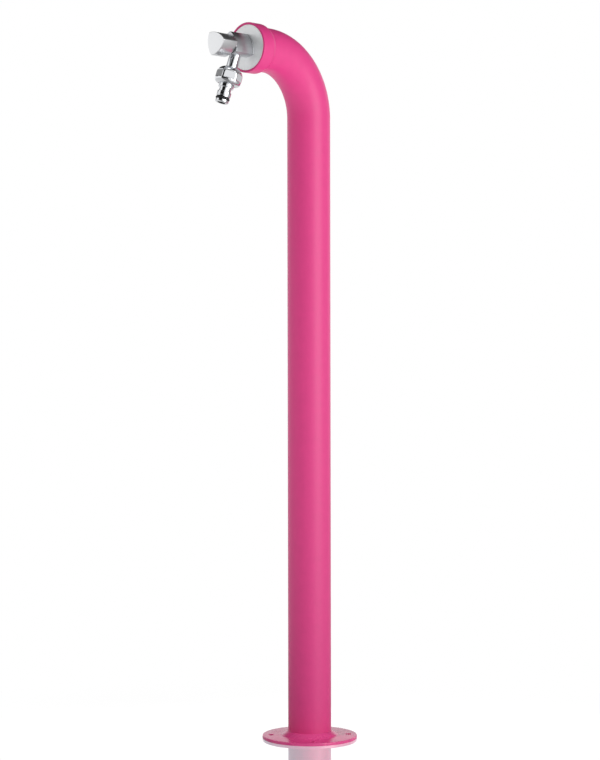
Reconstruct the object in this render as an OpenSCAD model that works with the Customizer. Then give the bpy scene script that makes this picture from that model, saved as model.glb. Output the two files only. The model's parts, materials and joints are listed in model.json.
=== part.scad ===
// Garden water post: a bent tube on a flange, with a quarter-turn tap on its head.
// Millimetres. +Z is up, the origin is the middle of the flange's underside,
// and the head points along -Y.

/* [Post] */
// Outside diameter of the post tube
post_od = 60; // [50:1:80]
// Wall of the post tube
post_wall = 2; // [1.5:0.5:3]
// Height of the head's centre line above the ground
axis_h = 950; // [600:10:1300]
// Radius of the bend on the tube's centre line
bend_r = 86; // [70:1:140]
// Distance from the end of the bend to the face of the end disc
head_straight = 38; // [38:1:100]

/* [Base flange] */
// How far the flange reaches out past the tube
flange_reach = 36; // [32:1:70]
// Thickness of the flange plate
flange_t = 4; // [3:0.5:10]
// Thickness of the lip that the tube stands on
flange_lip_t = 2; // [1:0.5:2.5]
// How far the lip reaches in under the tube's inside
flange_lip_reach = 2; // [1:0.5:6]
// Rounding of the plate's upper edge
flange_edge_r = 1; // [0.5:0.1:1.5]
// How far the foot of the raised socket reaches past the tube
hub_spread = 9.5; // [6:0.5:12]
// Height of the raised socket above the plate
hub_h = 6; // [3:0.5:20]
// Width of the flat rim on top of the raised socket
hub_rim = 1.2; // [0.8:0.1:3]
// Number of bolt holes
bolt_holes = 4; // [3:1:8]
// Diameter of the bolt holes
bolt_hole_d = 8; // [5:0.5:10]
// Distance from the flange's edge to the middle of the bolt holes
bolt_inset = 12; // [8:0.5:16]

/* [Head] */
// Wall of the collar over the tube
collar_wall = 3.8; // [2.5:0.1:8]
// Length of the collar
collar_len = 28; // [24:0.5:36]
// Rounding of the collar's front edge
collar_edge_r = 1.1; // [0.5:0.1:1.3]
// Length of the collar's rounded rear shoulder
collar_shoulder_len = 9; // [5:0.5:14]
// Step that the shoulder leaves on the tube
collar_step = 0.3; // [0.2:0.1:1]
// Thickness of the end disc
disc_t = 3; // [2:0.5:6]
// How far the disc reaches out past the tube's outside
disc_seat = 0.8; // [0.4:0.1:1.5]
// How far the disc's face lies behind the collar's front
disc_recess = 0.5; // [0:0.1:2]
// Thickness of the rubber ring behind the disc
disc_seal_t = 1; // [0.5:0.1:2]

/* [Tap body] */
// Width of the rounded triangle, the same in every direction
tap_width = 31; // [29:0.5:40]
// Rounding of its three long edges
tap_edge_r = 2; // [1:0.1:3.5]
// Turn of the whole tap, which takes the spout's end to the left seen from the front
tap_turn = 8; // [0:1:15]
// Thickness of the rosette
rosette_t = 2.8; // [1.5:0.1:6]
// Thickness of the gasket between rosette and body
tap_gasket_t = 0.6; // [0.4:0.1:2]
// How far the gasket lies in from the body's faces
tap_gasket_inset = 0.8; // [0.3:0.1:1.5]
// Length of the tap body
tap_len = 31; // [31:0.5:45]
// How far the tail's outside thread lies in from the long faces
tail_inset = 3; // [2.5:0.1:3.5]
// Length of the tail behind the body
tail_len = 28; // [26:0.5:40]
// Wall of the tail round its waterway
tail_wall = 4.4; // [3:0.1:5.4]
// Thinnest wall of the body round the valve chamber
chamber_wall = 2.4; // [1.9:0.1:2.6]
// Depth of the valve chamber from the body's front
chamber_depth = 23; // [23:0.5:26]

/* [Handle] */
// Gap between the body and the handle
handle_gap = 1; // [0.6:0.1:3]
// Length of the handle
handle_len = 25.4; // [20:0.2:50]
// Angle of the shut handle's edges from the body's edges
handle_rest_angle = 45; // [0:1:60]
// Diameter of the recess in the handle's back
handle_recess_d = 17; // [15:0.5:20]
// Depth of the recess in the handle's back
handle_recess_depth = 3; // [2:0.5:6]
// Diameter of the grub screw
grub_d = 5; // [3:0.5:6]
// How deep the grub screw lies under the handle's side
grub_sink = 2.2; // [0.5:0.1:4]
// Distance of the grub screw from the handle's back
grub_set = 8.5; // [6.5:0.5:12]
// Key size of the grub screw
grub_key = 2.5; // [1.5:0.5:3]

/* [Cartridge] */
// Wall of the cartridge shell
shell_wall = 1.1; // [0.8:0.1:1.6]
// Space for the water round the shell
shell_space = 1.8; // [1:0.1:2.4]
// Thickness of each ceramic disc
ceramic_t = 2.5; // [1.5:0.1:3]
// Thickness of the rubber ring at the inlet
inlet_seal_t = 2; // [1.5:0.1:3]
// How far that ring stands out of the shell
inlet_seal_stand = 1; // [0.5:0.1:1.4]
// Width of that ring
inlet_seal_w = 3; // [2:0.1:3.5]
// Diameter of the spindle's stem
spindle_d = 9; // [7:0.2:10]
// Diameter of the spindle's end inside the handle
spindle_end_d = 8; // [6:0.2:8.2]
// How far the spindle's end reaches into the handle
spindle_reach = 12.5; // [11:0.5:17]
// Thickness of the spindle's driving foot
foot_t = 3; // [2:0.1:3.5]
// Wall from the two ports in the ceramic discs to the discs' middle
port_core = 1.2; // [0.8:0.1:1.6]
// Wall from those ports to the discs' rim
port_rim = 3.2; // [2.6:0.1:4]
// Width of the tongue that drives the moving disc
tongue_w = 3; // [2:0.1:4]
// Height of that tongue
tongue_h = 1; // [0.5:0.1:1.4]
// Depth of the flange that closes the chamber
bonnet_t = 6; // [4:0.5:8]
// Thickness of the rubber ring on the spindle
spindle_ring_d = 1.6; // [1.2:0.1:2.2]
// Thickness of the spring clip on the spindle
clip_t = 0.8; // [0.5:0.1:1.2]
// Outside diameter of the spring clip
clip_d = 12.6; // [11:0.2:14]
// Depth of the clip's groove
clip_groove = 0.8; // [0.4:0.1:1.2]

/* [Spout] */
// Distance of the spout's root from the disc's face, on the tap's centre line
spout_root = 17; // [15:0.5:19]
// Lean of the spout, forward from straight down
spout_lean = 15; // [0:1:20]
// Outside diameter of the spout tube
spout_d = 16; // [14:0.5:18]
// Wall of the spout tube
spout_wall = 2; // [1:0.1:3]
// Distance from the root to the top of the union nut
nut_start = 31.2; // [30:0.2:60]

/* [Hose union] */
// Diameter of the ferrule that the nut turns on
ferrule_d = 24; // [22:0.1:25]
// Length of the ferrule
ferrule_len = 9.2; // [6:0.2:14]
// Thickness of the ferrule's inner stop
ferrule_stop = 2; // [1:0.1:3]
// Width of the nut across its flats
nut_af = 32.2; // [30:0.1:36]
// Distance from the nut's top to its flats
nut_flats_set = 7; // [4:0.2:9]
// Length of the nut's flats
nut_flats_len = 10.2; // [8:0.2:14]
// Diameter over the nut's rounded corners
nut_d = 36; // [35:0.1:40]
// Length of the nut
nut_len = 23.6; // [20:0.2:30]
// Rounding of the nut's upper shoulder, which closes in on the spout
nut_shoulder_r = 11; // [8:0.2:11]
// Rounding of the nut's lower shoulder
nut_round = 5.2; // [2:0.1:5.4]
// Thickness of the nut's lip over the ferrule
nut_lip_t = 5.8; // [4:0.1:8]
// Turn of the nut about the spout
nut_turn = 13; // [0:1:60]
// Thickness of the rubber washer
union_washer_t = 2; // [1:0.1:3]
// Length of the nipple's thread inside the nut
nipple_thread_len = 6.2; // [4:0.1:8]
// Diameter of the nipple's base
nipple_base_d = 21; // [20:0.1:22]
// How far the nipple's base stands out of the nut
nipple_base_len = 5.2; // [3:0.1:8]
// Diameter of the locking groove
nipple_groove_d = 16.6; // [14:0.1:17]
// Width of the locking groove
nipple_groove_w = 6; // [4:0.1:9]
// Diameter of the nipple's shoulder
nipple_shoulder_d = 19.8; // [18:0.1:20]
// Width of the nipple's shoulder
nipple_shoulder_w = 5.4; // [4:0.1:9]
// Distance from the shoulder to the seat for the rubber ring
nipple_land_w = 1.4; // [1:0.1:5]
// Diameter of the nipple's tip
nipple_tip_d = 18.6; // [17:0.1:19]
// Width of the seat for the rubber ring
ring_seat_w = 4.2; // [3.2:0.1:6]
// Thickness of the rubber ring
ring_t = 3.2; // [2:0.1:3.2]
// How far the rubber ring stands out past the tip
ring_stand = 0.4; // [0:0.1:0.8]
// Length of the nipple's tip past the rubber ring
nipple_tip_len = 3.8; // [3:0.1:10]
// Slope at the end of the nipple's tip
nipple_tip_slope = 1; // [0.5:0.1:2]
// Diameter of the waterway through the nipple
nipple_bore_d = 10.8; // [6:0.2:11]

/* [Tail fixing] */
// Thickness of the washer behind the disc
lock_washer_t = 1.5; // [1:0.1:3]
// How far that washer reaches out past the tail
lock_washer_reach = 5.6; // [4:0.1:9]
// Thinnest wall of the lock nut
lock_nut_wall = 3; // [2.4:0.1:5]
// Thickness of the lock nut
lock_nut_t = 7; // [4:0.5:9]
// Thickness of the washer on the end of the tail
coupling_washer_t = 2; // [1:0.1:3]
// Thickness of the collar on the end of the pipe
pipe_collar_t = 3; // [2:0.1:4]
// Thinnest wall of the coupling nut
coupling_nut_wall = 2.5; // [2.2:0.1:5]
// How far the coupling nut overlaps the tail
coupling_overlap = 7.4; // [4:0.2:9]
// Thickness of the coupling nut's lip
coupling_lip_t = 4; // [2:0.2:4]

/* [Water supply] */
// How far the pipe's outside lies in from the tail's thread
pipe_inset = 2.9; // [2.6:0.1:4]
// Wall of the supply pipe
pipe_wall = 1; // [0.7:0.1:1.5]
// Height of the plug that carries the inlet fitting
holder_h = 18; // [14:0.5:30]
// Outside diameter of the inlet fitting below its hexagon
inlet_d = 28; // [25:0.5:32]
// Diameter of the inlet's inside thread
inlet_thread_d = 18.6; // [16:0.1:21]
// Depth of the inlet's inside thread
inlet_thread_len = 14; // [8:0.5:14]
// Width of the inlet fitting's hexagon across its flats
inlet_af = 30; // [30:0.5:36]
// Height of that hexagon
inlet_hex_h = 10; // [5:0.5:15]
// How far the inlet fitting's upper thread reaches out past the pipe
inlet_stub_reach = 3; // [2.2:0.1:3.4]
// Length of the inlet fitting's upper thread
inlet_stub_len = 12; // [8:0.5:20]
// How far the pipe is pushed into the inlet fitting
pipe_insert = 9; // [5:0.5:14]
// Height of the compression ring
inlet_ring_h = 4; // [2:0.2:6]
// Thinnest wall of the inlet nut
inlet_nut_wall = 2.4; // [2.2:0.1:4]
// How far the inlet nut overlaps the fitting
inlet_nut_overlap = 8; // [4:0.5:10]
// Thickness of the inlet nut's lip
inlet_lip_t = 3; // [2:0.2:5]
// Number of spacers on the pipe
spacer_count = 3; // [1:1:5]
// Thickness of each spacer
spacer_t = 10; // [5:1:20]
// Number of openings in each spacer
spacer_holes = 3; // [2:1:4]

/* [Clearances] */
// Radial gap between pieces that are pushed together
push_gap = 0.1; // [0.05:0.01:0.2]
// Radial gap between pieces that turn in each other
run_gap = 0.05; // [0.02:0.01:0.1]
// Gap between faces that turn against each other
face_gap = 0.3; // [0.2:0.05:0.5]

/* [Hidden] */
$fn = 96;

paint = "#dc3f7e";
satin = "#c4c6c8";
chrome = "#d8dade";
brass = "#c3a04e";
rubber = "#1d1d1f";
ceramic = "#f1efe8";
copper = "#b87346";
plastic = "#3a3c40";
steel = "#8c8f92";

// How far each cut runs past the face it opens
over = 1;

// Post
post_r = post_od / 2;
post_inner_r = post_r - post_wall;
bend_z = axis_h - bend_r;
head_reach = bend_r + head_straight;
tube_end = -disc_t - disc_seal_t;

// Flange
flange_r = post_r + flange_reach;
hub_foot_r = post_r + hub_spread;
hub_top_r = post_r + push_gap + hub_rim;
hub_top = flange_t + hub_h;
bolt_r = flange_r - bolt_inset;
entry_r = post_inner_r - flange_lip_reach;

// Head
collar_r = post_r + collar_wall;
disc_r = post_r + disc_seat;
collar_front = disc_recess;
collar_back = collar_front - collar_len;

// Tap body, along the tap's centre line from the disc's face
tap_face_r = tap_width - tap_edge_r - (tap_width - 2 * tap_edge_r) / sqrt(3);
body_back = rosette_t + tap_gasket_t;
body_front = body_back + tap_len;
chamber_back = body_front - chamber_depth;
chamber_r = tap_face_r - chamber_wall;
tail_r = tap_face_r - tail_inset;
tail_end = body_back - tail_len;
tail_hole_r = tail_r + push_gap;
waterway_r = tail_r - tail_wall;
body_angle = 90 - tap_turn;

// Cartridge, in the order that the water meets it
shell_r = chamber_r - shell_space;
shell_inner_r = shell_r - shell_wall;
ceramic_r = shell_inner_r - push_gap;
shell_back = chamber_back + inlet_seal_stand;
fixed_back = chamber_back + inlet_seal_t;
moving_back = fixed_back + ceramic_t + run_gap;
foot_back = moving_back + ceramic_t;
foot_front = foot_back + foot_t;
shell_ceiling = foot_front + face_gap;
port_r = (ceramic_r - port_core - port_rim) / 2;
port_offset = port_core + port_r;
foot_r = ceramic_r - face_gap;
spindle_r = spindle_d / 2;
spindle_end_r = spindle_end_d / 2;
clip_back = body_front + face_gap;
clip_front = clip_back + clip_t;
// Place of the rubber ring on the spindle, half way along its bearing
spindle_ring_z = (shell_ceiling + body_front) / 2;
// Share of the shell's width that its windows take, and of the foot's that its tongue takes
window_share = 0.7;

// Handle
handle_back = body_front + handle_gap;
handle_front = handle_back + handle_len;
handle_angle = body_angle + handle_rest_angle;
spindle_top = handle_back + spindle_reach;
grub_z = handle_back + grub_set;
// Share of the spindle's radius that is left under the grub screw
flat_share = 0.8;
grub_in = spindle_end_r * flat_share;
grub_end = tap_face_r - grub_sink;
grub_angle = handle_angle + 60;

// Spout, along its own centre line from its root
spout_r = spout_d / 2;
spout_bore_r = spout_r - spout_wall;
nut_r = nut_d / 2;
nut_end = nut_start + nut_len;
nut_flats_start = nut_start + nut_flats_set;
nut_flats_end = nut_flats_start + nut_flats_len;
ferrule_start = nut_start + nut_lip_t;
ferrule_end = ferrule_start + ferrule_len;
ferrule_r = ferrule_d / 2;
spout_end = ferrule_end - ferrule_stop;
washer_end = ferrule_end + union_washer_t;
nipple_thread_end = washer_end + nipple_thread_len;
base_end = nipple_thread_end + nipple_base_len;
groove_end = base_end + nipple_groove_w;
shoulder_end = groove_end + nipple_shoulder_w;
land_end = shoulder_end + nipple_land_w;
ring_end = land_end + ring_seat_w;
nipple_end = ring_end + nipple_tip_len;
nipple_base_r = nipple_base_d / 2;
nipple_tip_r = nipple_tip_d / 2;
ring_seat_r = nipple_tip_r + ring_stand - ring_t;
nut_bore_r = ferrule_r + push_gap;

// Tail fixing
lock_washer_back = -disc_t - lock_washer_t;
lock_nut_back = lock_washer_back - lock_nut_t;
coupling_washer_back = tail_end - coupling_washer_t;
pipe_collar_back = coupling_washer_back - pipe_collar_t;
coupling_front = tail_end + coupling_overlap;
coupling_back = pipe_collar_back - coupling_lip_t;

// Water supply, upwards from the lip
pipe_r = tail_r - pipe_inset;
pipe_bore_r = pipe_r - pipe_wall;
holder_r = post_inner_r - push_gap;
holder_top = flange_lip_t + holder_h;
inlet_r = inlet_d / 2;
inlet_hex_top = holder_top + inlet_hex_h;
inlet_top = inlet_hex_top + inlet_stub_len;
inlet_stub_r = pipe_r + inlet_stub_reach;
pipe_start = inlet_top - pipe_insert;
inlet_ring_top = inlet_top + inlet_ring_h;
inlet_nut_start = inlet_top - inlet_nut_overlap;
inlet_nut_top = inlet_ring_top + inlet_lip_t;
inlet_bore_r = pipe_bore_r;

// Places its children on the tap's centre line: z runs forward from the disc's face, y runs up.
module on_head() {
    translate([0, -head_reach, axis_h]) rotate([90, 0, 0]) children();
}

// Places its children on the spout's centre line: z runs down and forward from its root.
module on_spout() {
    on_head() rotate(-tap_turn) translate([0, 0, spout_root]) rotate([90 - spout_lean, 0, 0])
        children();
}

// A round bar between two heights.
module bar(r, from, to) {
    translate([0, 0, from]) cylinder(r = r, h = to - from);
}

// A ring between two heights.
module ring(r, bore, from, to) {
    difference() {
        bar(r, from, to);
        bar(bore, from - over, to + over);
    }
}

// A hexagonal bar between two heights.
module hex_bar(af, from, to) {
    translate([0, 0, from]) cylinder(d = af / cos(30), h = to - from, $fn = 6);
}

// A rubber ring of round section.
module o_ring(centre_r, section_d, at) {
    translate([0, 0, at]) rotate_extrude() translate([centre_r, 0]) circle(d = section_d, $fn = 32);
}

// A rounded triangle with the same width all round, one edge at the given angle.
module rounded_triangle(width, edge_r, angle) {
    side = width - 2 * edge_r;
    corner = side / sqrt(3);
    rotate(angle) {
        intersection() {
            intersection_for (i = [0 : 2])
                rotate(120 * i) translate([corner, 0]) circle(r = side + edge_r, $fn = 180);
            rotate(180) circle(r = 2 * (corner + edge_r * cos(30)), $fn = 3);
        }
        for (i = [0 : 2]) rotate(120 * i) translate([corner, 0]) circle(r = edge_r);
    }
}

// A rounded-triangle bar between two heights.
module triangle_bar(width, edge_r, angle, from, to) {
    translate([0, 0, from]) linear_extrude(to - from) rounded_triangle(width, edge_r, angle);
}

// A bar that rises up the post, turns through the bend and runs to the head.
module bent_bar(r, from, head_to) {
    bar(r, from, bend_z);
    translate([0, -bend_r, bend_z]) rotate([90, 0, 90])
        rotate_extrude(angle = 90) translate([bend_r, 0]) circle(r = r);
    on_head() bar(r, -head_straight, head_to);
}

module post_tube() {
    color(paint) difference() {
        bent_bar(post_r, flange_lip_t, tube_end);
        bent_bar(post_inner_r, flange_lip_t - over, tube_end + over);
    }
}

module base_flange() {
    color(paint) difference() {
        rotate_extrude() {
            square([flange_r - flange_edge_r, flange_t]);
            square([flange_r, flange_t - flange_edge_r]);
            translate([flange_r - flange_edge_r, flange_t - flange_edge_r]) circle(r = flange_edge_r);
            polygon([[0, 0], [hub_foot_r, 0], [hub_foot_r, flange_t], [hub_top_r, hub_top], [0, hub_top]]);
        }
        bar(post_r + push_gap, flange_lip_t, hub_top + over);
        bar(entry_r, -over, flange_t);
        for (i = [0 : bolt_holes - 1])
            rotate(180 / bolt_holes + 360 / bolt_holes * i) translate([bolt_r, 0, 0])
                bar(bolt_hole_d / 2, -over, flange_t + over);
    }
}

// Sleeve with a small rounding in front and a long round shoulder behind.
module head_collar() {
    rise = collar_wall - collar_step;
    arc_r = (collar_shoulder_len * collar_shoulder_len + rise * rise) / (2 * rise);
    arc_end = asin(collar_shoulder_len / arc_r);
    steps = 12;
    color(paint) on_head() difference() {
        rotate_extrude() {
            polygon(concat(
                [[0, collar_back]],
                [for (i = [0 : steps]) [
                    collar_r - arc_r * (1 - cos(arc_end * (1 - i / steps))),
                    collar_back + collar_shoulder_len - arc_r * sin(arc_end * (1 - i / steps))]],
                [[collar_r, collar_front - collar_edge_r], [0, collar_front - collar_edge_r]]));
            translate([0, collar_front - 2 * collar_edge_r])
                square([collar_r - collar_edge_r, 2 * collar_edge_r]);
            translate([collar_r - collar_edge_r, collar_front - collar_edge_r])
                circle(r = collar_edge_r);
        }
        bar(post_r + push_gap, collar_back - over, collar_front + over);
        bar(disc_r + push_gap, tube_end, collar_front + over);
    }
}

module end_disc() {
    color(satin) on_head() ring(disc_r, tail_hole_r, -disc_t, 0);
}

module disc_seal() {
    color(rubber) on_head() ring(post_r, post_inner_r, tube_end, -disc_t);
}

module tap_rosette() {
    color(chrome) on_head() difference() {
        triangle_bar(tap_width, tap_edge_r, body_angle, 0, rosette_t);
        bar(tail_hole_r, -over, rosette_t + over);
    }
}

module tap_gasket() {
    color(rubber) on_head() difference() {
        triangle_bar(tap_width - 2 * tap_gasket_inset, tap_edge_r, body_angle, rosette_t, body_back);
        bar(tail_hole_r, rosette_t - over, body_back + over);
    }
}

module tap_body() {
    color(chrome) difference() {
        on_head() union() {
            triangle_bar(tap_width, tap_edge_r, body_angle, body_back, body_front);
            bar(tail_r, tail_end, body_back);
        }
        on_head() bar(waterway_r, tail_end - over, body_front);
        on_head() bar(chamber_r, chamber_back, body_front + over);
        on_spout() bar(spout_r + push_gap, 0, nut_start);
    }
}

module lock_washer() {
    color(brass) on_head() ring(tail_r + lock_washer_reach, tail_hole_r, lock_washer_back, -disc_t);
}

module lock_nut() {
    color(brass) on_head() difference() {
        hex_bar(2 * (tail_hole_r + lock_nut_wall), lock_nut_back, lock_washer_back);
        bar(tail_hole_r, lock_nut_back - over, lock_washer_back + over);
    }
}

module handle() {
    color(chrome) on_head() difference() {
        triangle_bar(tap_width, tap_edge_r, handle_angle, handle_back, handle_front);
        bar(handle_recess_d / 2, handle_back - over, handle_back + handle_recess_depth);
        bar(spindle_end_r + push_gap, handle_back, spindle_top + push_gap);
        translate([0, 0, grub_z]) rotate([0, 90, grub_angle])
            bar(grub_d / 2 + push_gap, grub_in, tap_width);
    }
}

// Grub screw in the handle's hidden side, with a socket for its key.
module handle_screw() {
    color(steel) on_head() translate([0, 0, grub_z]) rotate([0, 90, grub_angle]) difference() {
        bar(grub_d / 2, grub_in, grub_end);
        hex_bar(grub_key, (grub_in + grub_end) / 2, grub_end + over);
    }
}

module spindle() {
    color(brass) on_head() difference() {
        union() {
            bar(foot_r, foot_back, foot_front);
            bar(spindle_r, foot_front, clip_front);
            bar(spindle_end_r, clip_front, spindle_top);
            translate([0, 0, foot_back]) rotate(handle_angle) translate([0, 0, -tongue_h / 2])
                cube([2 * foot_r * window_share, tongue_w, tongue_h], center = true);
        }
        ring(spindle_r + over, spindle_r - spindle_ring_d, spindle_ring_z - spindle_ring_d / 2,
            spindle_ring_z + spindle_ring_d / 2);
        ring(spindle_r + over, spindle_r - clip_groove, clip_back, clip_front);
        translate([0, 0, grub_z]) rotate([0, 90, grub_angle])
            bar(grub_d / 2 + push_gap, grub_in, spindle_r + over);
    }
}

module spindle_o_ring() {
    color(rubber) on_head()
        o_ring(spindle_r - spindle_ring_d / 2, spindle_ring_d, spindle_ring_z);
}

// Spring clip with a gap, so that it slips on from the side.
module spindle_clip() {
    color(steel) on_head() difference() {
        ring(clip_d / 2, spindle_r - clip_groove, clip_back, clip_front);
        rotate(handle_angle) translate([0, -tongue_w / 2, clip_back - over])
            cube([clip_d, tongue_w, clip_t + 2 * over]);
    }
}

// Two ports side by side, at the given angle.
module ports(from, to, angle) {
    for (side = [-1, 1]) rotate(angle) translate([side * port_offset, 0, 0]) bar(port_r, from, to);
}

// Turning disc: its ports open to the rim, and a slot takes the spindle's tongue.
module moving_disc() {
    color(ceramic) on_head() difference() {
        bar(ceramic_r - run_gap, moving_back, foot_back);
        ports(moving_back - over, foot_back + over, handle_angle + 90);
        for (side = [0, 180]) rotate(handle_angle + 90 + side)
            translate([port_offset, -port_r, moving_back - over])
                cube([ceramic_r, 2 * port_r, ceramic_t + 2 * over]);
        translate([0, 0, foot_back]) rotate(handle_angle)
            cube([2 * ceramic_r, tongue_w + 2 * push_gap, 2 * (tongue_h + push_gap)], center = true);
    }
}

// Standing disc: its ports are covered while the handle is shut.
module fixed_disc() {
    color(ceramic) on_head() difference() {
        bar(ceramic_r, fixed_back, fixed_back + ceramic_t);
        ports(fixed_back - over, fixed_back + ceramic_t + over, handle_angle);
    }
}

module cartridge_seal() {
    color(rubber) on_head() ring(ceramic_r, ceramic_r - inlet_seal_w, chamber_back, fixed_back);
}

// Valve shell: open to the chamber through two side windows, closed by a flange at the front.
module cartridge_body() {
    color(brass) on_head() difference() {
        union() {
            bar(shell_r, shell_back, body_front);
            bar(chamber_r - push_gap, body_front - bonnet_t, body_front);
        }
        bar(shell_inner_r, shell_back - over, shell_ceiling);
        bar(spindle_r + run_gap, shell_ceiling - over, body_front + over);
        rotate(handle_angle) translate([-2 * chamber_r, -shell_r * window_share / 2, moving_back])
            cube([4 * chamber_r, shell_r * window_share, foot_front - moving_back]);
    }
}

// Spout tube, its root cut to the valve chamber.
module spout_tube() {
    color(chrome) difference() {
        on_spout() bar(spout_r, 0, spout_end);
        on_spout() bar(spout_bore_r, -over, spout_end + over);
        on_head() bar(chamber_r, chamber_back - spout_d, body_front + over);
    }
}

module spout_ferrule() {
    color(chrome) on_spout() difference() {
        bar(ferrule_r, ferrule_start, ferrule_end);
        bar(spout_r + push_gap, ferrule_start - over, spout_end);
        bar(spout_bore_r, spout_end - over, ferrule_end + over);
    }
}

module union_washer() {
    color(rubber) on_spout() ring(ferrule_r - push_gap, spout_bore_r, ferrule_end, washer_end);
}

// Turned nut with six flats round its middle. Its upper shoulder closes in on the spout and
// hangs on the ferrule.
module union_nut() {
    upper = nut_start + nut_shoulder_r;
    lower = nut_end - nut_round;
    color(chrome) on_spout() difference() {
        intersection() {
            union() {
                rotate(nut_turn) hex_bar(nut_af, nut_start, nut_end);
                bar(nut_r + over, nut_start - over, nut_flats_start);
                bar(nut_r + over, nut_flats_end, nut_end + over);
            }
            rotate_extrude() {
                translate([0, nut_start]) square([nut_r - nut_shoulder_r, nut_len]);
                translate([0, upper]) square([nut_r, lower - upper]);
                translate([0, lower]) square([nut_r - nut_round, nut_round]);
                intersection() {
                    translate([nut_r - nut_shoulder_r, upper]) circle(r = nut_shoulder_r);
                    translate([0, nut_start]) square([nut_r, nut_shoulder_r]);
                }
                intersection() {
                    translate([nut_r - nut_round, lower]) circle(r = nut_round);
                    translate([0, lower]) square([nut_r, nut_round]);
                }
            }
        }
        bar(spout_r + push_gap, nut_start - over, ferrule_start);
        bar(nut_bore_r, ferrule_start, nut_end + over);
    }
}

module hose_nipple() {
    color(chrome) on_spout() difference() {
        rotate_extrude() polygon([
            [0, washer_end], [ferrule_r - push_gap, washer_end],
            [ferrule_r - push_gap, nipple_thread_end], [nipple_base_r, nipple_thread_end],
            [nipple_base_r, base_end], [nipple_groove_d / 2, base_end],
            [nipple_groove_d / 2, groove_end], [nipple_shoulder_d / 2, groove_end],
            [nipple_shoulder_d / 2, shoulder_end], [nipple_tip_r, shoulder_end],
            [nipple_tip_r, land_end], [ring_seat_r, land_end],
            [ring_seat_r, ring_end], [nipple_tip_r, ring_end],
            [nipple_tip_r, nipple_end - nipple_tip_slope],
            [nipple_tip_r - nipple_tip_slope, nipple_end], [0, nipple_end]]);
        bar(nipple_bore_d / 2, washer_end - over, nipple_end + over);
    }
}

module nipple_o_ring() {
    color(rubber) on_spout() o_ring(ring_seat_r + ring_t / 2, ring_t, (land_end + ring_end) / 2);
}

module coupling_washer() {
    color(rubber) on_head() ring(tail_r, waterway_r, coupling_washer_back, tail_end);
}

module pipe_collar() {
    color(brass) on_head()
        ring(tail_r, pipe_r + push_gap, pipe_collar_back, coupling_washer_back);
}

module coupling_nut() {
    color(brass) on_head() difference() {
        hex_bar(2 * (tail_hole_r + coupling_nut_wall), coupling_back, coupling_front);
        bar(tail_hole_r, pipe_collar_back, coupling_front + over);
        bar(pipe_r + push_gap, coupling_back - over, pipe_collar_back + over);
    }
}

module supply_pipe() {
    color(copper) difference() {
        bent_bar(pipe_r, pipe_start, coupling_washer_back);
        bent_bar(pipe_bore_r, pipe_start - over, coupling_washer_back + over);
    }
}

// Discs that keep the pipe in the middle of the tube, spread evenly up the straight.
module pipe_spacers() {
    rise = (bend_z - inlet_nut_top) / spacer_count;
    mid_r = (pipe_r + holder_r) / 2;
    hole_r = (holder_r - pipe_r) / 4;
    color(plastic) for (i = [1 : spacer_count]) difference() {
        bar(holder_r, inlet_nut_top + rise * i - spacer_t, inlet_nut_top + rise * i);
        bar(pipe_r + push_gap, 0, bend_z + over);
        for (k = [0 : spacer_holes - 1]) rotate(360 / spacer_holes * k) translate([mid_r, 0, 0])
            bar(hole_r, 0, bend_z + over);
    }
}

module inlet_holder() {
    color(plastic) ring(holder_r, inlet_r + push_gap, flange_lip_t, holder_top);
}

module inlet_fitting() {
    color(brass) difference() {
        union() {
            bar(inlet_r, flange_lip_t, holder_top);
            hex_bar(inlet_af, holder_top, inlet_hex_top);
            bar(inlet_stub_r, inlet_hex_top, inlet_top);
        }
        bar(inlet_thread_d / 2, flange_lip_t - over, flange_lip_t + inlet_thread_len);
        bar(inlet_bore_r, flange_lip_t, inlet_top + over);
        bar(pipe_r + push_gap, pipe_start, inlet_top + over);
    }
}

module inlet_ring() {
    color(copper) ring(inlet_stub_r, pipe_r + push_gap, inlet_top, inlet_ring_top);
}

module inlet_nut() {
    color(brass) difference() {
        hex_bar(2 * (inlet_stub_r + push_gap + inlet_nut_wall), inlet_nut_start, inlet_nut_top);
        bar(inlet_stub_r + push_gap, inlet_nut_start - over, inlet_ring_top);
        bar(pipe_r + push_gap, inlet_ring_top - over, inlet_nut_top + over);
    }
}

post_tube();
base_flange();
head_collar();
end_disc();
disc_seal();
tap_rosette();
tap_gasket();
tap_body();
lock_washer();
lock_nut();
handle();
handle_screw();
spindle();
spindle_o_ring();
spindle_clip();
moving_disc();
fixed_disc();
cartridge_seal();
cartridge_body();
spout_tube();
spout_ferrule();
union_washer();
union_nut();
hose_nipple();
nipple_o_ring();
coupling_washer();
pipe_collar();
coupling_nut();
supply_pipe();
pipe_spacers();
inlet_holder();
inlet_fitting();
inlet_ring();
inlet_nut();
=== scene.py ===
import json
import math

import bmesh
import bpy
from mathutils import Matrix, Vector


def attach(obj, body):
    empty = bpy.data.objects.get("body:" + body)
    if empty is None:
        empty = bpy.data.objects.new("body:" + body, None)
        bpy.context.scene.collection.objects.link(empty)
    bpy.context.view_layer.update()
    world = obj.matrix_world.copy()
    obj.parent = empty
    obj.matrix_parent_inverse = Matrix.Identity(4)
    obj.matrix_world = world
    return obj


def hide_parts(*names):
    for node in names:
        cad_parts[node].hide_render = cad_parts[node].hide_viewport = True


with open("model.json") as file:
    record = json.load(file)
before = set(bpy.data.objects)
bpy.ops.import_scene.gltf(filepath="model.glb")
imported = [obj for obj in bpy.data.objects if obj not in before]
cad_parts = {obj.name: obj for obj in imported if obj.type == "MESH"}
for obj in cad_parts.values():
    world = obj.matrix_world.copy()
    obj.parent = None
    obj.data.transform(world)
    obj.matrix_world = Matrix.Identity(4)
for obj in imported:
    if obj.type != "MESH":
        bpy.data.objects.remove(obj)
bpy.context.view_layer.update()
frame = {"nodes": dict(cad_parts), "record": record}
nodes = frame["nodes"]
scene = bpy.context.scene
MM = 0.001

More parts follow.
